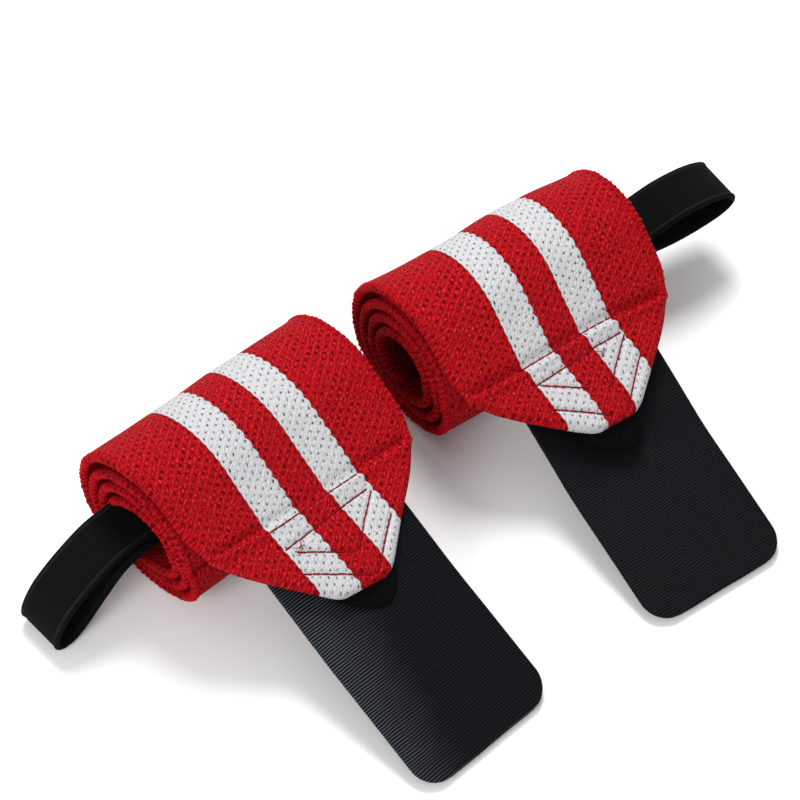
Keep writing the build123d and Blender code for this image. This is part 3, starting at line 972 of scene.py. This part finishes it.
def make_hooks(wrap, tape, material):
    """Rows of small nylon hooks under the tape: one patch for the sewn half and one for the free tab."""
    _, curve, normal, length = tape
    total = length[-1]
    hook_x = np.array([0, 0.05, 0.3, 0.55, 0.5])
    drop = TAPE_T + np.array([-0.2, 0.45, 0.85, 0.75, 0.45])
    hinge_y, _ = wrap.local_yz(wrap.peel_hinge)
    hinge_s = float(np.interp(-hinge_y, -curve[:, 0], length))
    spans = {"root_hooks": (HOOK_END_GAP, hinge_s - HOOK_HINGE_GAP),
             "tab_hooks": (hinge_s + HOOK_HINGE_GAP, total - HOOK_END_GAP)}
    for node, (start, end) in spans.items():
        paths = []
        for row, s in enumerate(np.arange(start, end, HOOK_ROW)):
            past = max(0.0, s - (total - TAPE_CORNER))
            half = TAPE_HALF - HOOK_MARGIN - corner_inset(past, TAPE_CORNER)
            shift = np.interp(s, [0, total], wrap.tape_shift)
            y, z, ny, nz = (np.interp(s, length, column) for column in (*curve.T, *normal.T))
            for x in np.arange(-half + (row % 2) * HOOK_PITCH / 2, half, HOOK_PITCH):
                lean = rng.normal(0, 0.12)
                paths.append(np.stack([shift + x + hook_x + lean, y - ny * drop, z - nz * drop], -1))
        piece = tubes_object(f"{wrap.name}_{node}_pile", wrap, paths, HOOK_RADIUS, material, sides=4)
        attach(piece, f"{wrap.name}_strap_end" if node == "root_hooks" else f"{wrap.name}_tab")
        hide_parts(f"{wrap.name}_{node}")


# ------------------------------------ thumb loop

def make_loop(wrap, material):
    """The elastic band out of the roll's end, round its fold and back, and the band's length.

    It is ribbed along its run and beaded at its edges.
    """
    knots = np.array([(wrap.hand * (STRAP_HALF + out), z) for out, z in LOOP_ROUTES[wrap.name]])
    curve, length = smooth_curve(knots, 190)
    normal = line_normals(curve) * wrap.hand
    rim = np.array([7.2, 7.5, 7.75, 7.93, BAND_HALF])
    across = np.concatenate([-rim[::-1], np.linspace(-6.9, 6.9, 56), rim])
    out = np.abs(across)
    bead = smooth(6.6, 7.0, out) - 0.5 * smooth(7.3, 7.9, out)
    rib = 0.03 * np.cos(2 * math.pi * across / BAND_RIB) * (1 - bead)
    half = BAND_T / 2 + 0.24 * bead + rib
    arch = rounded_rim(BAND_HALF - out, BAND_RIM) / BAND_RIM
    wobble = 0.25 * np.sin(0.11 * length)
    grids = []
    for face in (1, -1):
        height = face * half * arch
        x = curve[:, 0:1] + normal[:, 0:1] * height
        z = curve[:, 1:2] + normal[:, 1:2] * height
        y = BAND_Y + across[None] + wobble[:, None]
        grids.append(np.stack([x, np.broadcast_to(y, x.shape), z], -1))
    flat = np.stack(np.broadcast_arrays(across[None], length[:, None]), -1)
    return closed_sheet(f"{wrap.name}_elastic_loop", wrap, *grids, flat, material), length[-1]


# ------------------------------------ one wrap


def build_wrap(wrap, looks):
    """All pieces of one wrap. The roll's pieces, the threads, the backing and the hooks are hung on the bodies
    they ride on, and the CAD nodes that the pieces stand for are hidden.
    """
    line = Line(wrap)
    roll, end, tab, band = (f"{wrap.name}_{part}" for part in ("roll", "strap_end", "tab", "loop"))
    coil, flap, split = make_strap(wrap, line, looks["knit"])
    coil_whip = tubes_object(f"{wrap.name}_roll_whipping", wrap,
                             whip_paths(wrap, line, line.inner + 1.0, split), WHIP_RADIUS, looks["whip"])
    flap_whip = tubes_object(f"{wrap.name}_end_whipping", wrap,
                             whip_paths(wrap, line, split + 0.9, -4.0), WHIP_RADIUS, looks["whip"])
    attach(coil, roll)
    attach(coil_whip, roll)
    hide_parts(f"{wrap.name}_coil")
    for piece in (flap, flap_whip):
        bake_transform(piece)
    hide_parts(f"{wrap.name}_flap")
    make_seams(wrap, line, looks["thread"])

    make_backing(wrap, line, looks["backing"])
    tape = make_tape(wrap, line, looks[f"{wrap.name}_tape"])
    sheet, tape_length = tape[0], tape[3][-1]
    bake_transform(sheet)
    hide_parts(f"{wrap.name}_tape_root", f"{wrap.name}_hook_tab")
    make_hooks(wrap, tape, looks["hooks"])

    loop, loop_length = make_loop(wrap, looks["elastic"])
    outwards = wrap.along * wrap.hand
    edge = wrap.origin + outwards * STRAP_HALF * MM + np.array([0, 0, LOOP_EXIT_Z * MM])
    tuple(edge - outwards * 2 * MM)
    tuple(edge + outwards * 7 * MM)
    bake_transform(loop)
    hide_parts(f"{wrap.name}_loop_root", f"{wrap.name}_thumb_loop")
    tack = frame["nodes"][f"{wrap.name}_loop_tack"]
    tack.data.materials.clear()
    tack.data.materials.append(looks["hooks"])

    tape_length * MM


# ------------------------------------ camera, light and floor

def make_camera():
    """The camera at its place, turned to its aim and rolled about its own axis."""
    data = bpy.data.cameras.new("camera")
    data.lens = LENS
    data.sensor_width = 36.0
    data.clip_start = 0.01
    camera = bpy.data.objects.new("camera", data)
    bpy.context.scene.collection.objects.link(camera)
    eye, aim = Vector(EYE), Vector(AIM)
    forward = (aim - eye).normalized()
    level = forward.cross(Vector((0, 0, 1))).normalized()
    upright = level.cross(forward)
    roll = math.radians(CAMERA_ROLL)
    right = level * math.cos(roll) + upright * math.sin(roll)
    up = upright * math.cos(roll) - level * math.sin(roll)
    turn = Matrix((right, up, -forward)).transposed().to_4x4()
    camera.matrix_world = Matrix.Translation(eye) @ turn
    bpy.context.scene.camera = camera


def area_light(name, place, size, power):
    """A round soft light turned to the lit point."""
    data = bpy.data.lights.new(name, "AREA")
    data.shape = "DISK"
    data.size = size
    data.energy = power
    light = bpy.data.objects.new(name, data)
    bpy.context.scene.collection.objects.link(light)
    light.location = place
    light.rotation_euler = (Vector(LIT_POINT) - Vector(place)).to_track_quat("-Z", "Y").to_euler()


def make_stage():
    """The pale floor, the even light from all around and the two soft lights."""
    corners = [(x * FLOOR_HALF, y * FLOOR_HALF, 0) for x, y in ((-1, -1), (1, -1), (1, 1), (-1, 1))]
    pale = flecked_material("pale_floor", FLOOR_DARK, FLOOR_LIGHT,
                            roughness=0.9, specular=0.1, scale=3.0, depth=0.01, strength=0.1)
    mesh_object("floor", corners, [(0, 1, 2, 3)], pale)
    world = bpy.data.worlds.new("studio")
    world.use_nodes = True
    background = world.node_tree.nodes["Background"]
    background.inputs["Color"].default_value = (1.0, 1.0, 1.0, 1.0)
    background.inputs["Strength"].default_value = WORLD_STRENGTH
    bpy.context.scene.world = world
    for light in LIGHTS:
        area_light(*light)


bpy.context.scene.view_settings.view_transform = "Standard"
make_camera()
make_stage()
looks = {
    "knit": knit_material(),
    "whip": whip_material(),
    "thread": flecked_material("sewing_thread", THREAD_DARK, THREAD_LIGHT,
                               roughness=0.7, specular=0.1, scale=1800.0, depth=0.08),
    "elastic": elastic_material(),
    # Lit and shaded copies of one tape: the left one with a painted satin sheen and brighter painted ribs, the
    # right one with duller ribs
    "left_tape": tape_material("painted_sheen_hook_tape_back", contrast=0.6, painted_sheen=0.85),
    "right_tape": tape_material("hook_tape_back", contrast=0.25, painted_sheen=0.0),
    "hooks": flecked_material("nylon_hooks", HOOK_DARK, HOOK_LIGHT,
                              roughness=0.4, specular=0.5, scale=1500.0, depth=0.3),
    "backing": flecked_material("black_backing_cloth", BACKING_DARK, BACKING_LIGHT,
                                roughness=0.9, specular=0.05, scale=1100.0, depth=0.05),
}
for wrap in WRAPS:
    build_wrap(wrap, looks)
